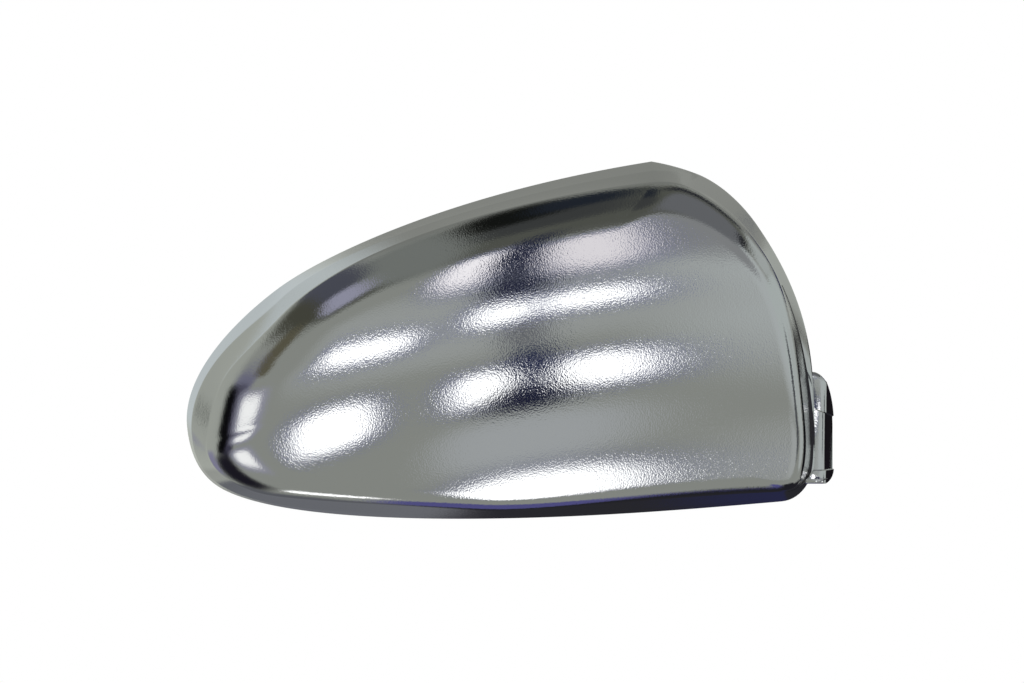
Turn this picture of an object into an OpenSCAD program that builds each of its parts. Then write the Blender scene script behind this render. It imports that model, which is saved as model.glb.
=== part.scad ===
// Wing mirror cover: one injection-moulded shell, chrome plated, seen here as it sits on the car.
// X runs from the rounded nose to the door side, Y from the bulging face to the open back, Z is up.
// The rim that seats on the mirror housing lies in the plane y = 0, and depth is measured ahead of it.

/* [Overall] */
// Length from the nose to the flange on the door side
cover_len = 217; // [180:1:262]
// Height from the bottom edge to the top edge
cover_h = 124; // [102:1:150]
// How far the crown stands ahead of the rim
crown_depth = 62; // [54:1:76]
// Wall thickness of the shell
wall = 2.5; // [2:0.1:3]

/* [Face] */
// Radius of the crown along its length
crown_r_len = 330; // [270:5:600]
// Radius of the crown over its height
crown_r_h = 95; // [80:1:140]
// How much faster the crown falls towards the nose, per millimetre
crown_skew = 0.003; // [0:0.0005:0.004]
// Rise of the crest line towards the door, per millimetre of length
crest_rise = 0.2; // [0.1:0.01:0.25]
// Bend of the crest line down to the nose, per millimetre squared
crest_bend = 0.0008; // [0:0.0001:0.001]
// Width over which the face rolls off at the nose
nose_roll = 26; // [20:1:32]
// Width over which the face rolls off at the hip above the nose
hip_roll = 20; // [14:1:26]
// Width over which the face rolls off along the top
top_roll = 18; // [12:1:24]
// Width over which the face rolls off along the bottom and the door side
edge_roll = 6; // [4:0.5:8]
// Drop of the rolled edge at the nose
nose_drop = 14; // [10:0.5:17]
// Drop of the rolled edge along the top
top_drop = 6.5; // [4:0.5:9]
// Drop of the rolled edge along the bottom and the door side
edge_drop = 3.8; // [3:0.1:5]

/* [Rim] */
// How far the rim is cut back ahead of the rim plane on the door side
trim = 10; // [7:0.5:12]
// Thickness of the flange on the door side, from front to back
flange_t = 3; // [2.4:0.1:3.6]
// Depth of the step inside the rim that laps the housing
lip_h = 1.5; // [0.8:0.1:2]
// Thickness of the rim beside that step
lip_t = 1.2; // [0.8:0.1:1.5]

/* [Cuff] */
// Height of the cuff on the door side
cuff_h = 38.4; // [32:0.4:46]
// Height of the middle of the cuff
cuff_z = -29.6; // [-34:0.2:-24]
// How far the cuff stands out past the flange
cuff_out = 7.5; // [6:0.5:10]
// How far the front of the cuff lies behind the front of the flange
cuff_set = 1.2; // [1:0.1:2]
// Wall thickness of the cuff
cuff_wall = 1.8; // [1.4:0.1:2.2]
// Height of the recess in the cuff, between its domed top and its lower edge
recess_h = 18.5; // [14:0.5:21]
// Depth of that recess
recess_deep = 0.5; // [0.3:0.1:1]

/* [Fixings] */
// Radius of the locating pins
pin_r = 3; // [2:0.1:3.5]
// Length of the locating pins
pin_len = 12; // [8:0.5:14]
// Distance from the rim plane to the tip of the pins
pin_set = 4; // [2:0.5:8]
// Radius of the tower under a pin
tower_r = 5; // [4.2:0.1:6]
// Width of a snap hook
hook_w = 10; // [7:0.5:14]
// Thickness of a snap hook's arm
hook_t = 1.8; // [1.4:0.1:2.4]
// Distance from the wall's outside to a snap hook's arm
hook_gap = 7; // [6:0.5:9]
// How far a snap hook stands behind the rim plane
hook_out = 5; // [3:0.5:8]
// Depth of the catch on a snap hook
catch_t = 1.6; // [1:0.1:2]
// Thickness of the ribs
rib_t = 1.2; // [1:0.1:1.6]
// Height of the ribs on the back of the face
rib_h = 4; // [3:0.5:6]

/* [Hidden] */
$fn = 48;

// The outlines are drawn for this length and height, and stretched to the ones above
drawn_len = 217;
drawn_h = 124;
stretch_x = cover_len / drawn_len;
stretch_z = cover_h / drawn_h;

// Knots of the rim, clockwise from the nose: x, z, angle in, angle out, handle in, handle out
rim_knots = [
    [-108.5, -29, 95, 95, 16, 22],
    [-75.5, 19.5, 35, 35, 8.5, 16.5],
    [52.5, 62.5, 9, -9, 72.5, 7.5],
    [69.5, 57, -25, -25, 3, 9.5],
    [88, 40.5, -55, -55, 6, 35.5],
    [108, -30, -89, -89, 20, 7],
    [107.5, -44, -99, -99, 3.5, 2],
    [97.5, -55.5, -175, -175, 8, 36],
    [-14.5, -61.5, 180, 180, 40, 24.5],
    [-94.5, -52, 155, 155, 19.5, 5],
];
// Knots of the shoulder, where the face meets the side walls
face_knots = [
    [-98.5, -33, 79, 79, 8.5, 24.5],
    [-72.5, 9, 46, 46, 31.5, 43],
    [51.5, 53, 4, 4, 15, 5.5],
    [65.5, 50, -29, -29, 6, 4.5],
    [84.5, 33.5, -54, -54, 10.5, 14.5],
    [101.5, -27.5, -83, -83, 41, 3.5],
    [101, -45.5, -108, -108, 6, 4.5],
    [93, -50, 181, 181, 4.5, 43.5],
    [-7, -55.5, 177, 177, 24, 63],
    [-83.5, -49.5, 161, 161, 7.5, 9.5],
];
// Steps between one knot and the next
steps = [14, 26, 5, 6, 16, 6, 6, 18, 14, 9];

// The rolled edge between those places: past the top's kink, down the door side, below the nose
kink_roll = 14;
side_roll = 10;
low_roll = 13;
hip_drop = 9;
kink_drop = 5;
side_drop = 4.5;
low_drop = 8;

// Values at the knots: width and drop of the rolled edge
roll_w = [
    nose_roll, hip_roll, top_roll, kink_roll, side_roll,
    edge_roll, edge_roll, edge_roll, edge_roll, low_roll,
];
roll_drop = [
    nose_drop, hip_drop, top_drop, kink_drop, side_drop,
    edge_drop, edge_drop, edge_drop, edge_drop, low_drop,
];
// The drop fades towards the crown with this power of the distance
roll_power = 3;
// Depth of the rim, cut back along the door side
rim_depth = [0, 0, 0, trim - 3, trim - 1, trim, trim, 0, 0, 0];
// The crease between the back wall and the band ahead of it: share of the band, share of the depth
crease_in = [0.3, 0.45, 0.48, 0.05, 0.04, 0.04, 0.04, 0.3, 0.3, 0.3];
crease_up = [0.5, 0.55, 0.55, 0, 0, 0, 0, 0.3, 0.3, 0.4];
// The foot of the wall behind the shoulder: share of the band, share of the depth
foot_in = [0.94, 0.94, 0.94, 0.9, 0.75, 0.22, 0.25, 0.9, 0.93, 0.93];
foot_up = [0.95, 0.95, 0.95, 0.9, 0.5, 0.06, 0.06, 0.93, 0.94, 0.94];

// Highest point of the crown, and the middle that the face's rings run in to
peak = [5, -5];
pole = [5, -6];
// Least way from the crease to the foot, and how far solids that join run into each other
least_step = 0.5;
overlap = 1;

// Outer edge of the flange on the door side, where the cuff stands on it
drawn_flange_x = 108.3;
flange_x = drawn_flange_x * stretch_x;
cuff_depth = trim + flange_t - cuff_set;
// How far the cuff runs in under the flange, and how far its top corner's middle does
cuff_root = 3.6;
cuff_top_reach = 1;
// Height of the long top corner, radius of the low one, lean of the side over the cuff's depth
cuff_top_corner = 19;
cuff_low_corner = 5;
cuff_lean = 4.5;
cuff_edge = 1.8;
// Middle of the recess, and the slope of its upper edge down to the cuff's tip
recess_drop = 5.4;
recess_z = cuff_z - recess_drop;
recess_slope = 20;

// Places of the fixings round the rim, and of the pins on the face
hook_places = [1.35, 1.62, 1.88, 7.2, 7.75, 8.4];
rib_places = [0.6, 1.12, 1.5, 1.75, 4.35, 7.45, 8.1, 8.7];
pin_places = [[-62 * stretch_x, -20 * stretch_z], [72 * stretch_x, -8 * stretch_z]];
// Ribs on the back of the face: height, start and end along the length
face_ribs = [
    [14 * stretch_z, -35 * stretch_x, 72 * stretch_x],
    [-36 * stretch_z, -55 * stretch_x, 80 * stretch_x],
];
// Depth of a hook's shelf, and the lead-in and heel of its catch as multiples of the catch's depth
hook_root = 6;
catch_lead = 2;
catch_heel = 2.4;
// Start of the wall ribs behind the rim and their length, and the face ribs' height at their ends
rib_set = 5;
rib_run = 14;
rib_end = 0.5;
rib_pieces = 8;
// The webs of a pin's tower: share of the way up where they end, and reach at the face
web_share = 0.45;
web_reach = 12;

function mix(a, b, t) = a + (b - a) * t;
function ease(t) = t * t * (3 - 2 * t);
function unit(v) = v / norm(v);
function heading(angle) = [cos(angle) * stretch_x, sin(angle) * stretch_z];
function bezier(a, b, c, d, t) =
    pow(1 - t, 3) * a + 3 * t * pow(1 - t, 2) * b + 3 * t * t * (1 - t) * c + pow(t, 3) * d;

// A place on an outline is its knot's number and the share of the way to the next knot
knot_count = len(rim_knots);
places = [for (i = [0:knot_count - 1]) for (k = [0:steps[i] - 1]) i + k / steps[i]];
place_count = len(places);

function knot_point(k) = [k[0] * stretch_x, k[1] * stretch_z];
function on_outline(knots, place) =
    let (
        i = floor(place),
        a = knots[i % knot_count],
        b = knots[(i + 1) % knot_count]
    )
    bezier(
        knot_point(a),
        knot_point(a) + a[5] * heading(a[3]),
        knot_point(b) - b[4] * heading(b[2]),
        knot_point(b),
        place - i
    );
function value_at(values, place) =
    let (i = floor(place))
    mix(values[i % knot_count], values[(i + 1) % knot_count], ease(place - i));
// The same along a curve that runs through the values without a stop
function flow_at(values, place) =
    let (
        i = floor(place),
        t = place - i,
        a = values[(i + knot_count - 1) % knot_count],
        b = values[i % knot_count],
        c = values[(i + 1) % knot_count],
        d = values[(i + 2) % knot_count]
    )
    b + t / 2 * (c - a + t * (2 * a - 5 * b + 4 * c - d + t * (3 * (b - c) + d - a)));

// Depth of the crowned face ahead of the rim plane, and its slopes
function crown(p) =
    let (
        x = p[0] - peak[0],
        z = p[1] - peak[1] - crest_rise * x + crest_bend * x * x
    )
    crown_depth - x * x / (2 * crown_r_len) * (1 - crown_skew * x) - z * z / (2 * crown_r_h);
function crown_slope_x(p) = (crown(p + [1, 0]) - crown(p - [1, 0])) / 2;
function crown_slope_z(p) = (crown(p + [0, 1]) - crown(p - [0, 1])) / 2;

function shoulder_depth(place) =
    crown(on_outline(face_knots, place)) - flow_at(roll_drop, place);

// A point of the side band: share of the way in from rim to shoulder, share of the way up
function band_point(place, inward, up) =
    let (
        p = mix(on_outline(rim_knots, place), on_outline(face_knots, place), inward),
        low = value_at(rim_depth, place)
    )
    [p[0], -mix(low, shoulder_depth(place), up), p[1]];
// The flange keeps its thickness where the crease runs into the rim
function crease_point(place) =
    let (
        share = value_at(crease_up, place),
        p = band_point(place, value_at(crease_in, place), share),
        flange = value_at(rim_depth, place) + flange_t
    )
    [p[0], min(p[1], -flange), p[2]];
function foot_point(place) =
    let (p = band_point(place, value_at(foot_in, place), value_at(foot_up, place)))
    [p[0], min(p[1], crease_point(place)[1] - least_step), p[2]];

// How far the pole lies from the tangent of the shoulder at a place
small = 0.02;
function outline_way(knots, place) =
    unit(on_outline(knots, place + small) - on_outline(knots, place + knot_count - small));
function reach(place) =
    let (
        way = outline_way(face_knots, place),
        arm = pole - on_outline(face_knots, place)
    )
    abs(way[0] * arm[1] - way[1] * arm[0]);
function inward_way(place) =
    let (way = outline_way(rim_knots, place))
    [way[1], -way[0]];

// A point of the rolled edge, from the shoulder (0) to the plain crown (1)
function roll_point(place, share) =
    let (
        p = mix(
            on_outline(face_knots, place),
            pole,
            share * flow_at(roll_w, place) / reach(place)
        )
    )
    [p[0], -crown(p) + flow_at(roll_drop, place) * pow(1 - share, roll_power), p[1]];
// A point of the crown, from the end of the rolled edge (0) to the pole (1)
function crown_point(place, share) =
    let (
        start = flow_at(roll_w, place) / reach(place),
        p = mix(on_outline(face_knots, place), pole, mix(start, 1, share))
    )
    [p[0], -crown(p), p[1]];

roll_shares = [0, 0.12, 0.26, 0.45, 0.7, 1];
crown_shares = [0.16, 0.34, 0.52, 0.7, 0.84, 0.94];

outer_rings = concat(
    [[for (p = places) band_point(p, 0, 0)]],
    [[for (p = places) crease_point(p)]],
    [[for (p = places) foot_point(p)]],
    [for (s = roll_shares) [for (p = places) roll_point(p, s)]],
    [for (s = crown_shares) [for (p = places) crown_point(p, s)]]
);
outer_count = len(outer_rings);

function wrap(i) = (i + place_count) % place_count;
function surface_normal(ring, i) =
    let (
        rings = outer_rings,
        next = min(ring + 1, outer_count - 1),
        along = rings[ring][wrap(i + 1)] - rings[ring][wrap(i - 1)],
        up = rings[next][i] - rings[ring - 1][i]
    )
    unit(cross(up, along));

// The rim's step, then the inside of the shell, one wall behind the outside
function lip_point(place, inset, depth) =
    let (p = on_outline(rim_knots, place) + inset * inward_way(place))
    [p[0], -value_at(rim_depth, place) - depth, p[1]];
inner_rings = concat(
    [[for (p = places) lip_point(p, lip_t, 0)]],
    [[for (p = places) lip_point(p, lip_t, lip_h)]],
    [[for (p = places) lip_point(p, wall, lip_h)]],
    [
        for (ring = [2:outer_count - 1])
        [
            for (i = [0:place_count - 1])
            outer_rings[ring][i] - wall * surface_normal(ring, i)
        ]
    ]
);

function reversed(list) = [for (i = [len(list) - 1:-1:0]) list[i]];

// A closed solid lofted through rings of equal length, closed by a fan at each end
module loft(rings) {
    n = len(rings[0]);
    last = len(rings) - 1;
    middles = [for (ring = [rings[0], rings[last]]) [for (p = ring) 1] * ring / n];
    points = concat([for (ring = rings) each ring], middles);
    sides = [
        for (r = [0:last - 1])
        for (i = [0:n - 1])
        let (a = r * n + i, b = r * n + (i + 1) % n, c = b + n, d = a + n)
        each [[a, b, c], [a, c, d]]
    ];
    first_fan = [for (i = [0:n - 1]) [(i + 1) % n, i, len(rings) * n]];
    last_fan = [
        for (i = [0:n - 1])
        [last * n + i, last * n + (i + 1) % n, len(rings) * n + 1]
    ];
    polyhedron(points, concat(sides, first_fan, last_fan), convexity = 6);
}

module shell() {
    loft(concat(reversed(inner_rings), outer_rings));
}

function arc(centre, radii, from, to, count) = [
    for (i = [0:count])
    let (angle = mix(from, to, i / count))
    centre + [radii[0] * cos(angle), radii[1] * sin(angle)]
];

// Outline of the cuff seen from the front, with a long corner at the top and a short one below
function cuff_outline(root, grow) =
    let (
        tip = flange_x + cuff_out + grow,
        top = cuff_z + cuff_h / 2 + grow,
        bottom = cuff_z - cuff_h / 2 - grow,
        turn_x = flange_x - cuff_top_reach + grow,
        lower = cuff_low_corner + grow
    )
    concat(
        [[root, bottom], [root, top]],
        arc([turn_x, top - cuff_top_corner], [tip - turn_x, cuff_top_corner], 90, 0, 12),
        arc([tip - lower, bottom + lower], [lower, lower], 0, -90, 6)
    );

// Outline of the cuff seen from above: it leans in towards a rounded front edge
function cuff_plan(root, grow, back, front) =
    let (
        tip = flange_x + cuff_out + grow,
        lean = cuff_lean / cuff_depth,
        turn_y = front - cuff_edge,
        turn_x = tip - lean * turn_y - cuff_edge
    )
    concat(
        [[root, back], [tip + lean * back, back]],
        arc([turn_x, -turn_y], [cuff_edge, cuff_edge], 0, -90, 4),
        [[root, -front]]
    );

module cuff_form(root, grow, back, front) {
    intersection() {
        translate([0, back, 0]) rotate([90, 0, 0])
            linear_extrude(back + front)
            polygon(cuff_outline(root, grow));
        translate([0, 0, cuff_z - cuff_h]) linear_extrude(2 * cuff_h)
            polygon(cuff_plan(root, grow, back, front));
    }
}

// Keeps what lies above a slanted plane through the cuff's tip at a height, or below a level one
module above(z, slope) {
    intersection() {
        children();
        translate([flange_x + cuff_out, overlap, z]) rotate([0, slope, 0])
            translate([-cuff_h, -2 * cuff_depth, 0]) cube([2 * cuff_h, 2 * cuff_depth, 2 * cuff_h]);
    }
}
module below(z) {
    intersection() {
        children();
        translate([flange_x - cuff_h, overlap - 2 * cuff_depth, z - 2 * cuff_h])
            cube([2 * cuff_h, 2 * cuff_depth, 2 * cuff_h]);
    }
}

// The cuff wraps the arm on the door side: open at the back and towards the inside of the cover
module cuff() {
    root = flange_x - cuff_root;
    inset = cuff_wall + recess_deep;
    difference() {
        union() {
            cuff_form(root, -recess_deep, 0, cuff_depth - recess_deep);
            above(recess_z + recess_h / 2, recess_slope) cuff_form(root, 0, 0, cuff_depth);
            below(recess_z - recess_h / 2) cuff_form(root, 0, 0, cuff_depth);
        }
        cuff_form(root - overlap, -inset, overlap, cuff_depth - inset);
    }
}

// Distance of the outside of the wall from the rim's edge at a depth, along the inward normal
function wall_inset(place, depth) =
    let (
        rim = on_outline(rim_knots, place),
        crease = crease_point(place),
        foot = foot_point(place),
        top = on_outline(face_knots, place),
        p = depth < -crease[1]
            ? mix(rim, [crease[0], crease[2]], max(depth, 0) / -crease[1])
            : mix(
                [crease[0], crease[2]],
                [foot[0], foot[2]],
                (depth + crease[1]) / (crease[1] - foot[1])
            ),
        way = inward_way(place)
    )
    (p - rim) * way;

// Draws a profile in the plane across the rim: x runs inwards from the rim's edge, y to the back
module across_rim(place, thickness) {
    p = on_outline(rim_knots, place);
    way = inward_way(place);
    translate([p[0], 0, p[1]])
        rotate([0, -atan2(way[1], way[0]), 0])
        linear_extrude(thickness, center = true)
        children();
}

// A springy hook on a shelf that stands on the inside of the wall
module snap_hook(place) {
    shelf = hook_root + 2 * hook_t;
    across_rim(place, hook_w) polygon([
        [wall_inset(place, shelf) + wall / 2, -shelf],
        [hook_gap + hook_t, -shelf],
        [hook_gap + hook_t, hook_out - catch_t],
        [hook_gap + hook_t / 2, hook_out],
        [hook_gap, hook_out],
        [hook_gap - catch_t, hook_out - catch_lead * catch_t],
        [hook_gap, hook_out - catch_heel * catch_t],
        [hook_gap, -hook_root],
        [wall_inset(place, hook_root) + wall / 2, -hook_root],
    ]);
}

// A thin web that stiffens the wall, tapering to nothing at the back
module wall_rib(place) {
    low = rib_set + value_at(rim_depth, place);
    high = low + rib_run;
    across_rim(place, rib_t) polygon([
        [wall_inset(place, low) + wall / 2, -low],
        [wall_inset(place, high) + wall / 2, -high],
        [wall_inset(place, high) + wall + rib_h, -high],
        [wall_inset(place, low) + wall, -low],
    ]);
}

// Keeps what lies behind the middle of the face's wall around a point
module behind_face(p) {
    block = 6 * tower_r;
    difference() {
        children();
        translate([p[0], wall / 2 - crown(p), p[1]])
            rotate([atan(crown_slope_z(p)), 0, -atan(crown_slope_x(p))])
            translate([-block / 2, -block, -block / 2])
            cube(block);
    }
}

// A locating pin on a tower with four webs
module pin_tower(p) {
    base = crown(p) + 2 * overlap;
    shoulder = pin_set + pin_len;
    web = shoulder + (crown(p) - shoulder) * web_share;
    translate([p[0], -shoulder - overlap, p[1]]) rotate([-90, 0, 0])
        cylinder(pin_len + overlap, r = pin_r);
    behind_face(p) {
        translate([p[0], -base, p[1]]) rotate([-90, 0, 0]) cylinder(base - shoulder, r = tower_r);
        for (turn = [0, 90])
            translate([p[0], 0, p[1]]) rotate([0, turn, 0])
                linear_extrude(rib_t, center = true)
                polygon([
                    [-web_reach, -base],
                    [web_reach, -base],
                    [tower_r - overlap, -web],
                    [overlap - tower_r, -web],
                ]);
    }
}

// A low rib along the back of the face, following the crown
module face_rib(z, from, to) {
    xs = [for (i = [0:rib_pieces]) mix(from, to, i / rib_pieces)];
    translate([0, 0, z]) linear_extrude(rib_t, center = true) polygon(concat(
        [for (x = xs) [x, wall / 2 - crown([x, z])]],
        [
            for (x = reversed(xs))
            [x, wall + (x == from || x == to ? rib_end : rib_h) - crown([x, z])]
        ]
    ));
}

module mirror_cover() {
    color("silver") {
        shell();
        cuff();
        for (place = hook_places) snap_hook(place);
        for (place = rib_places) wall_rib(place);
        for (p = pin_places) pin_tower(p);
        for (rib = face_ribs) face_rib(rib[0], rib[1], rib[2]);
    }
}

mirror_cover();
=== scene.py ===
import math
import bpy
import numpy as np
from mathutils import Matrix


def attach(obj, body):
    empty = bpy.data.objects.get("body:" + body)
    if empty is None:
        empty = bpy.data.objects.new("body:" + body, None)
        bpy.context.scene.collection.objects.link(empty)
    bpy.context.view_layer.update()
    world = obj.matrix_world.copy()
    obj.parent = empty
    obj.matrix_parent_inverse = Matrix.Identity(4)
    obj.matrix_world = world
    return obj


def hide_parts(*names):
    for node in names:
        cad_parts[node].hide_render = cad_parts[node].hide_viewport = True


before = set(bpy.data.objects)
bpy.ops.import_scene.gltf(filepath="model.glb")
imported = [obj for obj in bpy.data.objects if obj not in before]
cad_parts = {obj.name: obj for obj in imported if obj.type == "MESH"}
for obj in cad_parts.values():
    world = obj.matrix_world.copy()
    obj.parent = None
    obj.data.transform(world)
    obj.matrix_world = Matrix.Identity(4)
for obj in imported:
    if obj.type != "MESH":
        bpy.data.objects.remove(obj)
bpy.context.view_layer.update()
mm = 0.001
print("frame loaded")


def linearColor(hexText, strength=1.0):  # sRGB hex to the linear values that shaders use
    values = [int(hexText[i:i + 2], 16) / 255 for i in (1, 3, 5)]
    linear = [v / 12.92 if v <= 0.04045 else ((v + 0.055) / 1.055) ** 2.4 for v in values]
    return tuple(v * strength for v in linear) + (1.0,)


def addNode(tree, kind, settings=None, links=None, values=None):  # a node with its settings, links and values
    node = tree.nodes.new(kind)
    for name, value in (settings or {}).items():
        setattr(node, name, value)
    for socket, value in (values or {}).items():
        node.inputs[socket].default_value = value
    for socket, source in (links or {}).items():
        tree.links.new(source, node.inputs[socket])
    return node


def deselectAll():
    bpy.ops.object.select_all(action="DESELECT")


def makeActive(piece):
    deselectAll()
    piece.select_set(True)
    bpy.context.view_layer.objects.active = piece


def near(a, b):  # the same place to a hundredth of a millimetre
    return abs(a - b) < 0.01 * mm


def addBox(low, high):  # a cube primitive between two corners given in millimetres
    deselectAll()
    middle = [(a + b) / 2 * mm for a, b in zip(low, high)]
    bpy.ops.mesh.primitive_cube_add(size=1, location=middle, scale=[(b - a) * mm for a, b in zip(low, high)])
    bpy.ops.object.transform_apply(location=True, rotation=True, scale=True)
    return bpy.context.active_object


def pick(piece, kind, test):  # to edit mode, with the corners, edges or faces selected whose points all pass the test
    if bpy.context.mode != "OBJECT":
        bpy.ops.object.mode_set(mode="OBJECT")
    makeActive(piece)
    bpy.ops.object.mode_set(mode="EDIT")
    bpy.ops.mesh.select_mode(type=kind)
    bpy.ops.mesh.select_all(action="DESELECT")
    bpy.ops.object.mode_set(mode="OBJECT")
    points = piece.data.vertices
    items = {"VERT": points, "EDGE": piece.data.edges, "FACE": piece.data.polygons}[kind]
    for item in items:
        corners = [item] if kind == "VERT" else [points[i] for i in item.vertices]
        item.select = all(test(corner.co) for corner in corners)
    bpy.ops.object.mode_set(mode="EDIT")


def bisectPiece(piece, point, normal, cutAway=False):  # cuts right through; the side the normal points to may go
    pick(piece, "VERT", lambda c: True)
    bpy.ops.mesh.bisect(plane_co=point, plane_no=normal, use_fill=cutAway, clear_outer=cutAway)
    bpy.ops.object.mode_set(mode="OBJECT")


def applyModifier(piece, kind, **settings):
    makeActive(piece)
    modifier = piece.modifiers.new(kind.lower(), kind)
    for name, value in settings.items():
        setattr(modifier, name, value)
    bpy.ops.object.modifier_apply(modifier=modifier.name)


def combine(piece, other, operation):  # a boolean of two closed pieces; the other one goes
    applyModifier(piece, "BOOLEAN", object=other, operation=operation, solver="EXACT")
    bpy.data.objects.remove(other)


def finishPiece(piece, name, material, bevel=0.25):  # rounds the edges as a mould does, hands the piece to the frame
    if bpy.context.mode != "OBJECT":
        bpy.ops.object.mode_set(mode="OBJECT")
    if bevel:
        applyModifier(piece, "BEVEL", width=bevel * mm, segments=2, limit_method="ANGLE",
                      angle_limit=math.radians(28))
    makeActive(piece)
    bpy.ops.object.transform_apply(location=True, rotation=True, scale=True)
    bpy.ops.object.shade_smooth_by_angle(angle=math.radians(40))
    piece.name = name
    if material:
        piece.data.materials.append(material)
    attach(piece, "root")
    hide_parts("mirror_cover")


finishes = {
    "plateColor": "#C4C5C5",  # chromium over bright nickel
    "plateRoughness": 0.06,
    "stippleScale": 1900.0,  # stipple of the moulded skin, about 0.5 mm apart
    "stippleHeight": 0.000026,
    "waveScale": 420.0,  # slow waves under the plating, about 2.4 mm apart
    "waveHeight": 0.000006,
    "insideColor": "#BDBEBC",
    "insideRoughness": (0.29, 0.4),
    "insideScale": 1500.0,  # spark-eroded texture of the mould's core, about 0.7 mm apart
    "insideHeight": 0.000012,
    "patchScale": 55.0,  # the bath's uneven reach, about 18 mm from patch to patch
    # painted shade for the deep corner between wall and flange
    "cornerShadeColor": "#38353B",
    "cornerRoughness": (0.3, 0.5),
}


def emptyMaterial(name):
    material = bpy.data.materials.new(name)
    material.use_nodes = True
    material.node_tree.nodes.clear()
    return material, material.node_tree


def chromePlatedAbs():  # bright chrome on moulded ABS: a mirror broken up by the fine stipple of the skin beneath
    material, tree = emptyMaterial("chromePlatedAbs")
    place = addNode(tree, "ShaderNodeTexCoord").outputs["Object"]
    waves = addNode(tree, "ShaderNodeTexNoise", links={"Vector": place},
                    values={"Scale": finishes["waveScale"], "Detail": 1.0, "Roughness": 0.4})
    waveBump = addNode(tree, "ShaderNodeBump", links={"Height": waves.outputs["Fac"]},
                       values={"Strength": 1.0, "Distance": finishes["waveHeight"]})
    stipple = addNode(tree, "ShaderNodeTexNoise", links={"Vector": place},
                      values={"Scale": finishes["stippleScale"], "Detail": 1.0, "Roughness": 0.6})
    stippleBump = addNode(tree, "ShaderNodeBump",
                          links={"Height": stipple.outputs["Fac"], "Normal": waveBump.outputs["Normal"]},
                          values={"Strength": 1.0, "Distance": finishes["stippleHeight"]})
    shader = addNode(tree, "ShaderNodeBsdfPrincipled", links={"Normal": stippleBump.outputs["Normal"]},
                     values={"Base Color": linearColor(finishes["plateColor"]), "Metallic": 1.0,
                             "Roughness": finishes["plateRoughness"]})
    addNode(tree, "ShaderNodeOutputMaterial", links={"Surface": shader.outputs["BSDF"]})
    return material


def satinPlatedAbs():  # the plating on the textured inside: the same metal, dull, with soft broad reflections
    material, tree = emptyMaterial("satinPlatedAbs")
    place = addNode(tree, "ShaderNodeTexCoord").outputs["Object"]
    grain = addNode(tree, "ShaderNodeTexNoise", links={"Vector": place},
                    values={"Scale": finishes["insideScale"], "Detail": 2.0, "Roughness": 0.6})
    patchy = addNode(tree, "ShaderNodeTexNoise", links={"Vector": place},
                     values={"Scale": finishes["patchScale"], "Detail": 3.0})
    smoothest, dullest = finishes["insideRoughness"]
    dull = addNode(tree, "ShaderNodeMapRange", links={"Value": patchy.outputs["Fac"]},
                   values={"From Min": 0.3, "From Max": 0.7, "To Min": smoothest, "To Max": dullest})
    bump = addNode(tree, "ShaderNodeBump", links={"Height": grain.outputs["Fac"]},
                   values={"Strength": 1.0, "Distance": finishes["insideHeight"]})
    shader = addNode(tree, "ShaderNodeBsdfPrincipled",
                     links={"Normal": bump.outputs["Normal"], "Roughness": dull.outputs["Result"]},
                     values={"Base Color": linearColor(finishes["insideColor"]), "Metallic": 1.0})
    addNode(tree, "ShaderNodeOutputMaterial", links={"Surface": shader.outputs["BSDF"]})
    return material


def paintedCornerShade():  # painted shade: a dark, dull metal laid in the deep corner between wall and flange, where shade falls
    material, tree = emptyMaterial("paintedCornerShade")
    place = addNode(tree, "ShaderNodeTexCoord").outputs["Object"]
    grain = addNode(tree, "ShaderNodeTexNoise", links={"Vector": place},
                    values={"Scale": finishes["insideScale"], "Detail": 2.0})
    smoothest, dullest = finishes["cornerRoughness"]
    dull = addNode(tree, "ShaderNodeMapRange", links={"Value": grain.outputs["Fac"]},
                   values={"From Min": 0.3, "From Max": 0.7, "To Min": smoothest, "To Max": dullest})
    shader = addNode(tree, "ShaderNodeBsdfPrincipled", links={"Roughness": dull.outputs["Result"]},
                     values={"Base Color": linearColor(finishes["cornerShadeColor"]), "Metallic": 1.0})
    addNode(tree, "ShaderNodeOutputMaterial", links={"Surface": shader.outputs["BSDF"]})
    return material


brightChrome = chromePlatedAbs()
satinChrome = satinPlatedAbs()
# the dark metal that paints shade into the deep corner
cornerShadePlate = paintedCornerShade()
print("finishes ready")

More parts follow.
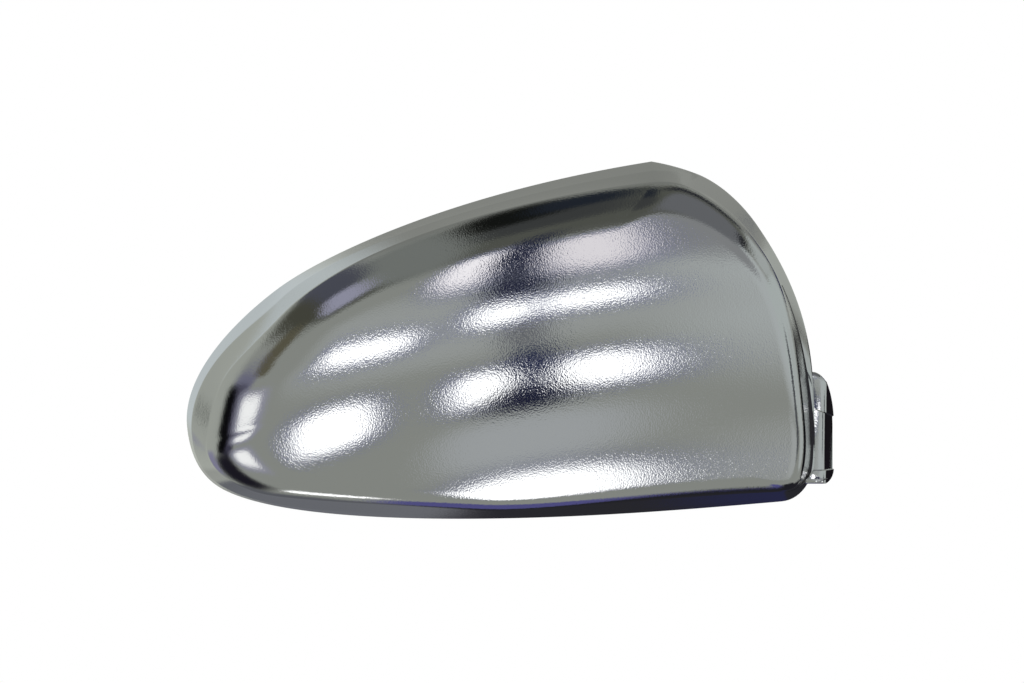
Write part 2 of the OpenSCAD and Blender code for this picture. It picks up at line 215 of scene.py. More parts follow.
coverShape = {  # in millimetres and degrees
    "crownDepth": 62,  # how far the crown stands ahead of the rim
    "wall": 2.5,
    "crownRadiusLength": 330,
    "crownRadiusHeight": 95,
    "crownSkew": 0.003,  # the crown falls faster towards the nose than towards the door
    "crestRise": 0.2,  # slope and bend of the crest line along the cover
    "crestBend": 0.0008,
    "flangeThickness": 3,
    "lipHeight": 1.5,  # the seating lip inside the rim
    "lipThickness": 1.2,
    "rimLand": 0.15,  # flat width of the rim's edge
    "rimCorner": 0.03,  # the corner beside it, as a share of the way to the crease
    "lipSpacing": 1.0,  # between two rings on the lip
    "peak": (5, -5),  # x, z of the crown's highest point
    "pole": (5, -6),  # x, z where the rings close
    "rimKnots": [  # x, z, angle in, angle out, handle in, handle out, clockwise from the nose
        (-108.5, -29, 95, 95, 16, 22),
        (-75.5, 19.5, 35, 35, 8.5, 16.5),
        (52.5, 62.5, 9, -9, 72.5, 7.5),
        (69.5, 57, -25, -25, 3, 9.5),
        (88, 40.5, -55, -55, 6, 35.5),
        (108, -30, -89, -89, 20, 7),
        (107.5, -44, -99, -99, 3.5, 2),
        (97.5, -55.5, -175, -175, 8, 36),
        (-14.5, -61.5, 180, 180, 40, 24.5),
        (-94.5, -52, 155, 155, 19.5, 5),
    ],
    "faceKnots": [  # the same for the edge of the face
        (-98.5, -33, 79, 79, 8.5, 24.5),
        (-72.5, 9, 46, 46, 31.5, 43),
        (51.5, 53, 4, 4, 15, 5.5),
        (65.5, 50, -29, -29, 6, 4.5),
        (84.5, 33.5, -54, -54, 10.5, 14.5),
        (101.5, -27.5, -83, -83, 41, 3.5),
        (101, -45.5, -108, -108, 6, 4.5),
        (93, -50, 181, 181, 4.5, 43.5),
        (-7, -55.5, 177, 177, 24, 63),
        (-83.5, -49.5, 161, 161, 7.5, 9.5),
    ],
    "steps": (44, 96, 14, 18, 56, 16, 16, 72, 60, 28),  # stations between one knot and the next
    # one value for each knot
    "rollWidth": (26, 20, 18, 14, 10, 6, 6, 6, 6, 13),  # the shoulder that rolls over the edge of the face
    "rollDrop": (14, 9, 6.5, 5, 4.5, 3.8, 3.8, 3.8, 3.8, 8),
    "rimDepth": (0, 0, 0, 7, 9, 10, 10, 0, 0, 0),  # how far the rim lies ahead of its plane, towards the face
    "creaseIn": (0.3, 0.45, 0.48, 0.05, 0.04, 0.04, 0.04, 0.3, 0.3, 0.3),  # shares of the way from rim to shoulder
    "creaseUp": (0.5, 0.55, 0.55, 0, 0, 0, 0, 0.3, 0.3, 0.4),
    "footIn": (0.94, 0.94, 0.94, 0.9, 0.75, 0.22, 0.25, 0.9, 0.93, 0.93),
    "footUp": (0.95, 0.95, 0.95, 0.9, 0.5, 0.06, 0.06, 0.93, 0.94, 0.94),
    "cornerShadeReach": (0, 0, 0, 0, 0, 1.35, 1.4, 0, 0, 0),  # reach of the painted shade in the deep corner, up the wall and over the flange
    "cornerShadeLeast": 0.3,  # it starts and ends where its reach falls to this
    "edgeRadii": (0.3, 0.9, 1.0, 1.1),  # of the rim's edge, the crease, the foot and the shoulder
    "edgeRings": (4, 7, 6, 9),
    "rollShares": 36,  # rings on the shoulder and on the crown
    "crownShares": 44,
    "longestGap": 4.0,  # between two rings of the band
}
knotCount = len(coverShape["rimKnots"])


def outlinePoint(knots, places):  # a place is a knot's number and the share of the way to the next
    table = np.array(knots, float)
    start = np.floor(places + 1e-9).astype(int)
    t = (places - start)[:, None]
    a, b = table[start % knotCount], table[(start + 1) % knotCount]
    leave, arrive = np.radians(a[:, 3]), np.radians(b[:, 2])
    p1 = a[:, :2] + a[:, 5:6] * np.stack([np.cos(leave), np.sin(leave)], -1)
    p2 = b[:, :2] - b[:, 4:5] * np.stack([np.cos(arrive), np.sin(arrive)], -1)
    return (1 - t) ** 3 * a[:, :2] + 3 * t * (1 - t) ** 2 * p1 + 3 * t * t * (1 - t) * p2 + t ** 3 * b[:, :2]


def outlineWay(knots, places):  # the way the outline runs, of length one
    step = 0.02
    way = outlinePoint(knots, places + step) - outlinePoint(knots, places + knotCount - step)
    return way / np.linalg.norm(way, axis=1, keepdims=True)


def easedValue(values, places):  # eases from knot to knot
    values = np.array(values, float)
    start = np.floor(places + 1e-9).astype(int)
    t = places - start
    a, b = values[start % knotCount], values[(start + 1) % knotCount]
    return a + (b - a) * t * t * (3 - 2 * t)


def flowingValue(values, places):  # runs through the knots' values without a stop
    values = np.array(values, float)
    start = np.floor(places + 1e-9).astype(int)
    t = places - start
    a, b, c, d = (values[(start + k) % knotCount] for k in (-1, 0, 1, 2))
    return b + t / 2 * (c - a + t * (2 * a - 5 * b + 4 * c - d + t * (3 * (b - c) + d - a)))


def crownDepthAt(points):  # the face's own height ahead of the rim, before its shoulder falls away
    s = coverShape
    x = points[..., 0] - s["peak"][0]
    z = points[..., 1] - s["peak"][1] - s["crestRise"] * x + s["crestBend"] * x * x
    return (s["crownDepth"] - x * x / (2 * s["crownRadiusLength"]) * (1 - s["crownSkew"] * x)
            - z * z / (2 * s["crownRadiusHeight"]))


def shoulderReach(places):  # distance of the pole from the shoulder's tangent
    way = outlineWay(coverShape["faceKnots"], places)
    arm = np.array(coverShape["pole"], float) - outlinePoint(coverShape["faceKnots"], places)
    return np.abs(way[:, 0] * arm[:, 1] - way[:, 1] * arm[:, 0])


def bandPoint(places, inward, up):  # shares of the way from the rim to the shoulder, inwards and forwards
    low = easedValue(coverShape["rimDepth"], places)
    face = outlinePoint(coverShape["faceKnots"], places)
    rim = outlinePoint(coverShape["rimKnots"], places)
    top = crownDepthAt(face) - flowingValue(coverShape["rollDrop"], places)
    p = rim + (face - rim) * np.asarray(inward)[:, None]
    return np.stack([p[:, 0], -(low + (top - low) * up), p[:, 1]], -1)


def bandLines(places):  # the rim, the crease and the foot of the wall behind the shoulder
    s = coverShape
    zero = np.zeros(len(places))
    rim = bandPoint(places, zero, zero)
    crease = bandPoint(places, easedValue(s["creaseIn"], places), easedValue(s["creaseUp"], places))
    crease[:, 1] = np.minimum(crease[:, 1], -(easedValue(s["rimDepth"], places) + s["flangeThickness"]))
    foot = bandPoint(places, easedValue(s["footIn"], places), easedValue(s["footUp"], places))
    foot[:, 1] = np.minimum(foot[:, 1], crease[:, 1] - 0.5)
    return rim, crease, foot


def inwardWay(places):  # from the rim's edge to the middle of the cover, square to the rim
    way = outlineWay(coverShape["rimKnots"], places)
    return np.stack([way[:, 1], 0 * way[:, 1], -way[:, 0]], -1)


def wallInset(place, depth):  # how far in from the rim's edge the outside of the wall lies at a depth
    places = np.array([place])
    rim, crease, foot = (line[0] for line in bandLines(places))
    if depth < -crease[1]:
        p = rim + (crease - rim) * max(depth, 0) / -crease[1]
    else:
        p = crease + (foot - crease) * (depth + crease[1]) / (crease[1] - foot[1])
    return float((p - rim) @ inwardWay(places)[0])


def facePoint(places, share, rolled):  # on the rolled edge from shoulder to crown, then on the crown to the pole
    face = outlinePoint(coverShape["faceKnots"], places)
    start = flowingValue(coverShape["rollWidth"], places) / shoulderReach(places)
    along = start * share if rolled else start + (1 - start) * share
    p = face + (np.array(coverShape["pole"], float) - face) * along[:, None]
    depth = crownDepthAt(p)
    if rolled:
        depth = depth - flowingValue(coverShape["rollDrop"], places) * (1 - share) ** 3
    return np.stack([p[:, 0], -depth, p[:, 1]], -1)


def roundedProfile(corners, radii, counts):  # a profile through corners, each rounded by a quadratic curve
    rings = [corners[0]]
    for k in range(1, len(corners) - 1):
        a, p, b = corners[k - 1], corners[k], corners[k + 1]
        toA = a - p
        toB = b - p
        lenA = np.linalg.norm(toA, axis=1, keepdims=True)
        lenB = np.linalg.norm(toB, axis=1, keepdims=True)
        r = np.minimum(radii[k - 1], 0.45 * np.minimum(lenA, lenB))
        start, end = p + toA / lenA * r, p + toB / lenB * r
        for t in np.linspace(0, 1, counts[k - 1]):
            rings.append((1 - t) ** 2 * start + 2 * t * (1 - t) * p + t * t * end)
    rings.append(corners[-1])
    return rings


def fillBetween(rings, longest):  # adds rings where two lie far apart
    out = [rings[0]]
    for a, b in zip(rings, rings[1:]):
        gap = np.linalg.norm(b - a, axis=1).max()
        n = max(1, int(math.ceil(gap / longest)))
        for k in range(1, n + 1):
            out.append(a + (b - a) * k / n)
    return out


def ringNormals(rings):  # outward, of length one
    grid = np.array(rings)
    up = np.gradient(grid, axis=0)
    along = np.roll(grid, -1, axis=1) - np.roll(grid, 1, axis=1)
    normals = np.cross(up, along)
    return normals / (np.linalg.norm(normals, axis=-1, keepdims=True) + 1e-12)


def coverRings():  # from inside the face, out over the rim and over the outside to the pole, and where each finish and the painted corner shade lie
    s = coverShape
    places = np.concatenate([i + np.arange(n) / n for i, n in enumerate(s["steps"])])
    rim, crease, foot = bandLines(places)
    roll = [facePoint(places, k / s["rollShares"], True) for k in range(s["rollShares"])]
    crown = [facePoint(places, k / s["crownShares"], False) for k in range(s["crownShares"])]
    inset = inwardWay(places)
    edge = rim + s["rimLand"] * inset
    corners = [edge, rim + (crease - rim) * s["rimCorner"], crease, foot, roll[0], roll[2]]
    band = roundedProfile(corners, s["edgeRadii"], s["edgeRings"])
    footFrom = 1 + sum(s["edgeRings"][:2])  # the first and the last of the rings that round the foot
    footTo = footFrom + s["edgeRings"][2] - 1
    corner = easedValue(s["cornerShadeReach"], places)
    onWall, onFlange = [], []
    for rounding, beyond, marks in ((band[footTo], band[footTo + 1], onWall),
                                    (band[footFrom], band[footFrom - 1], onFlange)):
        step = (beyond - foot) / np.linalg.norm(beyond - foot, axis=1, keepdims=True)
        away = np.maximum(corner, np.linalg.norm(rounding - foot, axis=1))
        for wider in (0.02, 0.06):  # two rings mark each edge of the painted corner shade
            marks.append(foot + step * (away + wider)[:, None])
    outer = fillBetween(band[:footFrom] + onFlange[1:], s["longestGap"]) + onFlange[:1]
    shadeFrom = len(outer) - 1
    outer += band[footFrom:footTo + 1] + onWall[:1]
    shadeTo = len(outer) - 1
    outer += fillBetween(onWall[1:] + band[footTo + 1:-1], s["longestGap"]) + roll[2:] + crown
    normals = ringNormals(outer)
    grid = np.array(outer)
    fromFoot = [np.abs(ring[:, 1] - foot[:, 1]).mean() for ring in outer]
    skinFrom = next(k for k in range(9, len(outer)) if fromFoot[k] < 0.6)  # the inner wall starts level with the foot
    inner = [grid[k] - s["wall"] * normals[k] for k in list(range(skinFrom, len(outer), 3)) + [len(outer) - 1]]
    lipOut = rim + s["lipThickness"] * inset
    lipDeep = lipOut + np.array([0, -s["lipHeight"], 0])
    lipIn = rim + s["wall"] * inset + np.array([0, -s["lipHeight"], 0])
    hidden = list(reversed(inner)) + list(reversed(fillBetween([lipOut, lipDeep, lipIn], s["lipSpacing"])))
    shadeRows = (len(hidden) + shadeFrom, len(hidden) + shadeTo)
    shadeColumns = np.nonzero(corner > s["cornerShadeLeast"])[0]
    return hidden + outer, len(hidden), shadeRows, shadeColumns


# a grid primitive with its rows laid along the rings, closed at its seam and poles
def meshFromRings(name, rings, satinRows, shadeRows, shadeColumns):
    rows, columns = len(rings), len(rings[0])
    deselectAll()
    bpy.ops.mesh.primitive_grid_add(x_subdivisions=columns, y_subdivisions=rows - 1, size=1)
    piece = bpy.context.active_object
    grid = np.array(rings) * mm
    grid[0] = grid[0].mean(axis=0)
    grid[-1] = grid[-1].mean(axis=0)
    closed = np.concatenate([grid, grid[:, :1]], axis=1)
    piece.data.vertices.foreach_set("co", closed.reshape(-1))
    for material in (brightChrome, satinChrome, cornerShadePlate):
        piece.data.materials.append(material)
    finish = np.zeros((rows - 1, columns), int)
    finish[:satinRows] = 1
    # painted shade: the deep corner between wall and flange takes the dark metal
    finish[shadeRows[0]:shadeRows[1], shadeColumns] = 2
    piece.data.polygons.foreach_set("material_index", finish.reshape(-1))
    piece.data.update()
    bpy.ops.object.mode_set(mode="EDIT")
    bpy.ops.mesh.select_all(action="SELECT")
    bpy.ops.mesh.remove_doubles(threshold=0.000002)
    bpy.ops.mesh.normals_make_consistent(inside=False)
    bpy.ops.object.mode_set(mode="OBJECT")
    finishPiece(piece, name, None, bevel=0)
    return piece


cover = meshFromRings("cover_shell", *coverRings())
print("shell ready:", len(cover.data.polygons), "faces")


cuffShape = {  # the cuff that wraps the arm on the door side
    "flangeX": 108.3,  # the flange's edge there
    "standOut": 7.5,
    "root": 3.6,  # how far it reaches under the flange
    "top": -10.4,
    "bottom": -48.8,
    "depth": 11.8,
    "wall": 1.8,
    "topCornerReach": 1.0,
    "topCornerHeight": 19.0,
    "lowCorner": 5.0,
    "lean": 4.5,  # how far its side falls back over its depth
    "frontEdge": 1.8,
    "frontDraft": 1.8,  # degrees that the front leans back
    "recessTop": -25.75,
    "recessSlope": 20.0,  # degrees
    "recessBottom": -44.25,
    "recessDepth": 0.5,
    "recessStep": 0.3,  # height of the steep step at each end of the recess
}


def makeCuff():  # a block with an oval top corner, a round low one and a side that leans, opened to a shell
    s = cuffShape
    root, tip = s["flangeX"] - s["root"], s["flangeX"] + s["standOut"]
    reach = s["standOut"] + s["topCornerReach"]
    squash = reach / s["topCornerHeight"]
    cuff = addBox((root, -s["depth"], s["bottom"]), (tip, 0, s["top"]))
    pick(cuff, "VERT", lambda c: True)
    bpy.ops.transform.resize(value=(1, 1, squash), center_override=(0, 0, 0))
    pick(cuff, "EDGE", lambda c: near(c.x, tip * mm) and near(c.z, s["top"] * squash * mm))
    bpy.ops.mesh.bevel(offset=reach * mm, segments=16)
    pick(cuff, "VERT", lambda c: True)
    bpy.ops.transform.resize(value=(1, 1, 1 / squash), center_override=(0, 0, 0))
    pick(cuff, "EDGE", lambda c: near(c.x, tip * mm) and near(c.z, s["bottom"] * mm))
    bpy.ops.mesh.bevel(offset=s["lowCorner"] * mm, segments=8)
    bisectPiece(cuff, (tip * mm, 0, 0), (1, -s["lean"] / s["depth"], 0), cutAway=True)
    draft = math.tan(math.radians(s["frontDraft"]))
    bisectPiece(cuff, (0, -s["depth"] * mm, s["bottom"] * mm), (0, -1, draft), cutAway=True)
    for plane in (lambda c: near(c.y, 0), lambda c: near(c.x, root * mm)):  # open at the back and towards the cover
        pick(cuff, "FACE", plane)
        bpy.ops.mesh.delete(type="FACE")
    pick(cuff, "FACE", lambda c: near(c.y, -s["depth"] * mm + (c.z - s["bottom"] * mm) * draft))
    bpy.ops.mesh.region_to_loop()
    bpy.ops.object.mode_set(mode="OBJECT")
    points = cuff.data.vertices
    for edge in cuff.data.edges:  # the edge under the flange stays as it is
        edge.select = edge.select and not all(near(points[i].co.x, root * mm) for i in edge.vertices)
    bpy.ops.object.mode_set(mode="EDIT")
    bpy.ops.mesh.select_mode(type="EDGE")
    bpy.ops.mesh.bevel(offset=s["frontEdge"] * mm, segments=5)
    bpy.ops.object.mode_set(mode="OBJECT")
    slope = math.radians(s["recessSlope"])
    for low in (0, s["recessStep"]):  # two cuts beside each other make the steep step
        bisectPiece(cuff, (tip * mm, 0, (s["recessTop"] - low) * mm), (math.sin(slope), 0, math.cos(slope)))
        bisectPiece(cuff, (tip * mm, 0, (s["recessBottom"] + low) * mm), (0, 0, 1))

    within = s["recessStep"] - 0.01

    def inRecess(c):
        under = (s["recessTop"] - within) * mm + (tip * mm - c.x) * math.tan(slope)
        return (s["recessBottom"] + within) * mm < c.z < under and c.x > (root + 0.1) * mm

    pick(cuff, "VERT", lambda c: inRecess(c) and c.y < -mm)
    bpy.ops.transform.translate(value=(0, s["recessDepth"] * mm, 0))
    pick(cuff, "VERT", lambda c: inRecess(c) and c.x > (s["flangeX"] + 0.5) * mm)
    bpy.ops.transform.translate(value=(-s["recessDepth"] * mm, 0, 0))
    bpy.ops.object.mode_set(mode="OBJECT")
    applyModifier(cuff, "SOLIDIFY", thickness=s["wall"] * mm, offset=-1)
    finishPiece(cuff, "door_side_cuff", brightChrome, bevel=0.15)


makeCuff()
print("cuff ready")


def carryToRim(piece, place):  # x goes inwards from the rim's edge, y to the back, z along the rim
    rim = outlinePoint(coverShape["rimKnots"], np.array([place]))[0] * mm
    way = inwardWay(np.array([place]))[0]
    turned = Matrix(((way[0], 0, -way[2], rim[0]), (0, 1, 0, 0), (way[2], 0, way[0], rim[1]), (0, 0, 0, 1)))
    piece.data.transform(turned)


hookShape = {
    "width": 10.0,
    "armThickness": 1.8,
    "gap": 7.0,  # from the wall's outside to the arm
    "standOut": 5.0,  # past the rim, to the back
    "shelfDepth": 6.0,
    "shelfReach": 3.0,  # before it runs in to the wall
    "catchDepth": 1.6,
    "catchNose": 2.0,  # the catch's nose and its heel, in catch depths from the tip
    "catchHeel": 2.4,
    "places": (1.35, 1.62, 1.88, 7.2, 7.75, 8.4),  # a knot of the rim and the share of the way to the next
}


def makeSnapHooks():
    s = hookShape
    half = s["width"] / 2
    close, far = s["gap"], s["gap"] + s["armThickness"]
    shelf = s["shelfDepth"] + 2 * s["armThickness"]
    lead = s["standOut"] - s["catchNose"] * s["catchDepth"]
    heel = s["standOut"] - s["catchHeel"] * s["catchDepth"]
    hook = addBox((close, -shelf, -half), (far, s["standOut"], half))
    for y in (-s["shelfDepth"], heel, lead, s["standOut"] - s["catchDepth"]):
        bisectPiece(hook, (0, y * mm, 0), (0, 1, 0))
    pick(hook, "FACE", lambda c: near(c.x, close * mm) and c.y < (0.01 - s["shelfDepth"]) * mm)
    bpy.ops.mesh.extrude_region_move(TRANSFORM_OT_translate={"value": (-s["shelfReach"] * mm, 0, 0)})
    pick(hook, "EDGE", lambda c: near(c.x, close * mm) and near(c.y, lead * mm))
    bpy.ops.transform.translate(value=(-s["catchDepth"] * mm, 0, 0))
    pick(hook, "EDGE", lambda c: near(c.x, far * mm) and near(c.y, s["standOut"] * mm))
    bpy.ops.transform.translate(value=(-s["armThickness"] / 2 * mm, 0, 0))
    bpy.ops.object.mode_set(mode="OBJECT")
    for number, place in enumerate(s["places"]):
        copy = hook.copy()
        copy.data = hook.data.copy()
        bpy.context.collection.objects.link(copy)
        for corner in copy.data.vertices:  # the shelf runs in to the middle of the wall
            if near(corner.co.x, (close - s["shelfReach"]) * mm):
                corner.co.x = (wallInset(place, -corner.co.y / mm) + coverShape["wall"] / 2) * mm
        carryToRim(copy, place)
        finishPiece(copy, f"snap_hook_{number + 1}", satinChrome, bevel=0.3)
    bpy.data.objects.remove(hook)


makeSnapHooks()
print("snap hooks ready")


ribShape = {
    "thickness": 1.2,
    "height": 4.0,
    "start": 5.0,  # behind the rim
    "run": 14.0,
    "taper": 1.2,  # power with which a wall rib grows over its run
    "places": (0.6, 1.12, 1.5, 1.75, 4.35, 7.45, 8.1, 8.7),
    "faceRibs": ((14.0, -35.0, 72.0), (-36.0, -55.0, 80.0)),  # height, start and end along the length
    "faceRibSteps": 24,
    "faceRibEnd": 0.5,  # height at an end, rising to the full one over an eighth of the length
}


def makeRibs():
    s = ribShape
    half = s["thickness"] / 2
    wall = coverShape["wall"]
    for number, place in enumerate(s["places"]):  # webs that stiffen the wall, tapering to nothing at the back
        low = s["start"] + easedValue(coverShape["rimDepth"], np.array([place]))[0]
        rib = addBox((0, -low - s["run"], -half), (1, -low, half))
        for k in (1, 2, 3):
            bisectPiece(rib, (0, -(low + s["run"] * k / 4) * mm, 0), (0, 1, 0))
        for corner in rib.data.vertices:
            depth = -corner.co.y / mm
            free = wall + s["height"] * ((depth - low) / s["run"]) ** s["taper"]
            corner.co.x = (wallInset(place, depth) + (free if corner.co.x > 0.5 * mm else wall / 2)) * mm
        carryToRim(rib, place)
        finishPiece(rib, f"wall_rib_{number + 1}", satinChrome, bevel=0.2)
    for number, (z, start, end) in enumerate(s["faceRibs"]):  # low ribs that follow the back of the face
        rib = addBox((start, -1, z - half), (end, 0, z + half))
        for k in range(1, s["faceRibSteps"]):
            bisectPiece(rib, ((start + (end - start) * k / s["faceRibSteps"]) * mm, 0, 0), (1, 0, 0))
        for corner in rib.data.vertices:
            x = corner.co.x / mm
            ends = min(1, 8 * (x - start) / (end - start), 8 * (end - x) / (end - start))
            free = wall + s["faceRibEnd"] + (s["height"] - s["faceRibEnd"]) * max(0, ends)
            depth = float(crownDepthAt(np.array([x, z])))
            corner.co.y = ((free if corner.co.y > -0.5 * mm else wall / 2) - depth) * mm
        finishPiece(rib, f"face_rib_{number + 1}", satinChrome, bevel=0.2)


makeRibs()
print("ribs ready")


pinShape = {
    "pinRadius": 3.0,
    "pinLength": 12.0,
    "tipSet": 4.0,  # from the rim's plane to the pin's tip
    "tipChamfer": 0.8,
    "towerRadius": 5.0,
    "webThickness": 1.2,
    "webReach": 12.0,
    "webShare": 0.45,
    "places": ((-62.0, -20.0), (72.0, -8.0)),
}


def makePinTower(number, x, z):
    s = pinShape
    crown = float(crownDepthAt(np.array([x, z])))
    base, shoulder = crown + 2, s["tipSet"] + s["pinLength"]
    web = shoulder + (crown - shoulder) * s["webShare"]
    deselectAll()
    bpy.ops.mesh.primitive_cylinder_add(vertices=48, radius=s["towerRadius"] * mm, depth=(base - shoulder) * mm,
                                        location=(x * mm, -(base + shoulder) / 2 * mm, z * mm),
                                        rotation=(math.radians(90), 0, 0))
    bpy.ops.object.transform_apply(location=True, rotation=True, scale=True)
    tower = bpy.context.active_object
    pick(tower, "FACE", lambda c: near(c.y, -shoulder * mm))
    bpy.ops.mesh.inset(thickness=(s["towerRadius"] - s["pinRadius"]) * mm)
    bpy.ops.mesh.extrude_region_move(TRANSFORM_OT_translate={"value": (0, s["pinLength"] * mm, 0)})
    pick(tower, "EDGE", lambda c: near(c.y, -s["tipSet"] * mm))
    bpy.ops.mesh.bevel(offset=s["tipChamfer"] * mm, segments=3)
    bpy.ops.object.mode_set(mode="OBJECT")
    thin, top = s["webThickness"] / 2, s["towerRadius"] - 1
    for wide, deep in ((s["webReach"], thin), (thin, s["webReach"])):
        crossWeb = addBox((x - wide, -base, z - deep), (x + wide, -web, z + deep))
        for side in (-1, 1):
            edgeX, edgeZ = (x + side * wide) * mm, (z + side * deep) * mm
            move = side * (top - s["webReach"]) * mm
            if wide > deep:
                pick(crossWeb, "EDGE", lambda c: near(c.x, edgeX) and near(c.y, -web * mm))
                bpy.ops.transform.translate(value=(move, 0, 0))
            else:
                pick(crossWeb, "EDGE", lambda c: near(c.z, edgeZ) and near(c.y, -web * mm))
                bpy.ops.transform.translate(value=(0, 0, move))
        bpy.ops.object.mode_set(mode="OBJECT")
        combine(tower, crossWeb, "UNION")
    slopeX = float(crownDepthAt(np.array([x + 1, z])) - crownDepthAt(np.array([x - 1, z]))) / 2
    slopeZ = float(crownDepthAt(np.array([x, z + 1])) - crownDepthAt(np.array([x, z - 1]))) / 2
    middleOfWall = (x * mm, (coverShape["wall"] / 2 - crown) * mm, z * mm)
    bisectPiece(tower, middleOfWall, (-slopeX, -1, -slopeZ), cutAway=True)
    finishPiece(tower, f"pin_tower_{number}", satinChrome, bevel=0.2)


for number, (x, z) in enumerate(pinShape["places"]):
    makePinTower(number + 1, x, z)
print("pin towers ready")


studio = {
    "lens": 101.44,
    "sensorWidth": 36,
    "cameraX": 4.2 * mm,
    "cameraDistance": 1.0,
    "floorPlace": (0, 0.25, -0.35),
    "floorSize": (1.6, 1.1, 1),
    "floorColor": "#F0F0F0",
    "floorGlow": 0.8,  # only for the camera, so that the floor looks nearly white
    "room": "#a9aca6",
    "lean": 0.22,  # the light boxes' columns lean by this much with their height
    "corner": 3.0,  # squareness of a patch's corners
    "halo": (3.0, 2.4, 0.9, "#9094b4", 1.0),  # soft edge round a light: wider, higher, softness, colour, level
    # a patch is left, right, low, high in degrees, softness, colour, level; the later ones cover the earlier
    "ahead": [  # the open side of the room, beyond the camera
        (17, 75, -24, 60, 0.95, "#d2d8d8", 1.0),
        (-42, 22, 3, 31, 0.9, "#bec2c0", 1.0),
        (-12, 14, -44, -24, 0.9, "#c6cacc", 1.0),
        (23, 66, -58, -32, 0.9, "#c6cac9", 1.0),
    ],
    "around": [  # beside and behind the cover: its turn round the view and its angle away from it
        # pale walls: the door side, then behind the rim
        (345, 395, 45, 118, 0.5, "#d2dad8", 1.0),
        (30, 46, 76, 118, 0.5, "#c8cecc", 1.0),
        (122, 212, 118, 175, 0.25, "#bcc0b8", 1.0),
        (66, 126, 118, 175, 0.25, "#8f918c", 1.0),
        (30, 68, 112, 175, 0.25, "#999b96", 1.0),
        (366, 396, 140, 176, 0.25, "#b4b8b2", 1.0),
        (120, 190, 144, 165, 0.8, "#d0d8da", 1.0),
        # the dark ceiling over the top, from grey to nearly black
        (40, 84, 34, 60, 0.8, "#a0a2a4", 1.0),
        (70, 113, 52, 66, 0.6, "#6a6c66", 1.0),
        (44, 143, 60, 117, 0.3, "#64665f", 1.0),
        (108, 125, 56, 121, 0.7, "#8c908c", 1.0),
        (90, 108, 74, 104, 0.8, "#4a4c4c", 1.0),
        (97, 109, 93, 121, 0.9, "#1a1c1a", 1.0),
        (91, 101, 99, 117, 0.8, "#2a303a", 1.0),
        (48, 86, 55, 104, 0.5, "#7c7e82", 1.0),
        (47, 89, 108, 114, 0.5, "#34363c", 1.0),
        (46.5, 51.5, 68, 94, 0.5, "#36383c", 1.0),
        # beyond the nose, from above to below
        (122, 137, 94, 133, 0.7, "#5c5e6a", 1.0),
        (124, 136, 72, 98, 0.7, "#b4b4ca", 1.0),
        (133, 145, 84, 126, 0.7, "#56564c", 1.0),
        (143, 152, 84, 102, 0.9, "#6e6a58", 1.0),
        (150, 170, 92, 117, 0.8, "#84849a", 1.0),
        (160, 200, 94, 114, 0.9, "#4a485a", 1.0),
        (161, 192, 108, 122, 0.7, "#101012", 1.0),
        (190, 243, 100, 127, 0.9, "#24222c", 1.0),
        (186, 216, 127, 137, 0.8, "#9a98b4", 1.0),
        # beyond the door side, by the flange and the cuff
        (329, 369.5, 121, 180, 0.3, "#1c1a1e", 1.0),
        (327, 370, 92, 118, 0.4, "#ccd2d0", 1.0),
        (318, 366, 69, 84, 0.8, "#606266", 1.0),
        (375, 396, 120, 143, 0.4, "#2a2e5a", 1.0),
        (30, 43, 121, 147, 0.5, "#2a2e5a", 1.0),
        # the dark ground below
        (250, 329, 125, 180, 0.2, "#66666c", 1.0),
        (261, 329, 125, 180, 0.25, "#2b2b30", 1.0),
        (286, 300, 158, 180, 0.5, "#2a2c4a", 1.0),
        (226, 264, 122, 180, 0.3, "#6e7076", 1.0),
        (262, 282, 112, 136, 0.4, "#6462a0", 1.0),
        (283, 312, 110, 150, 0.3, "#28282e", 1.0),
        (248, 262, 103, 113, 0.4, "#ffffff", 2.4),
    ],
    "lights": [  # light boxes beyond the camera
        (-36.8, -22, -20.5, -4.2, 0.4, "#ffffff", 2.4),
        (-8.8, -0.6, -17.8, -4.6, 0.4, "#ffffff", 2.4),
        (5.2, 14.4, -16.6, -4.6, 0.4, "#ffffff", 2.4),
        (-34, -16, 11.6, 18.6, 0.4, "#ffffff", 2.4),
        (-6.2, 2.8, 14.6, 21.8, 0.4, "#ffffff", 2.4),
        (4.4, 16.4, 15.6, 22.0, 0.4, "#ffffff", 2.4),
        (-15.0, -4.6, 31, 50, 0.45, "#faf6fa", 1.6),
        (5.4, 19.4, 30.5, 47, 0.4, "#f8f3f8", 1.32),
        (-11, 20, -79, -47, 0.3, "#ffffff", 2.4),
    ],
    "noseLights": [  # two light boxes far to the side, each soft in a wider pale patch
        (-101, -56, -1, 17, 0.95, "#b0b0c2", 1.0),
        (-94, -65, 3.5, 13.5, 0.95, "#ffffff", 1.5),
        (-104, -58, -38, -8, 0.95, "#b0b0c2", 1.0),
        (-97, -66, -33, -14, 0.95, "#ffffff", 1.5),
    ],
    "gaps": [  # dark gaps between the light boxes
        (-0.6, 4.9, -14, 4, 0.8, "#30385a", 1.0),
        (-4.5, 6.5, -23, -13, 0.8, "#242842", 1.0),
        (-1.5, 4.5, 4, 13, 0.8, "#7c7e84", 1.0),
        (-5.0, 6.5, 24.5, 31, 0.7, "#282d48", 1.0),
        (-4.0, 4.2, 29, 62, 0.8, "#2a2f48", 1.0),
    ],
}


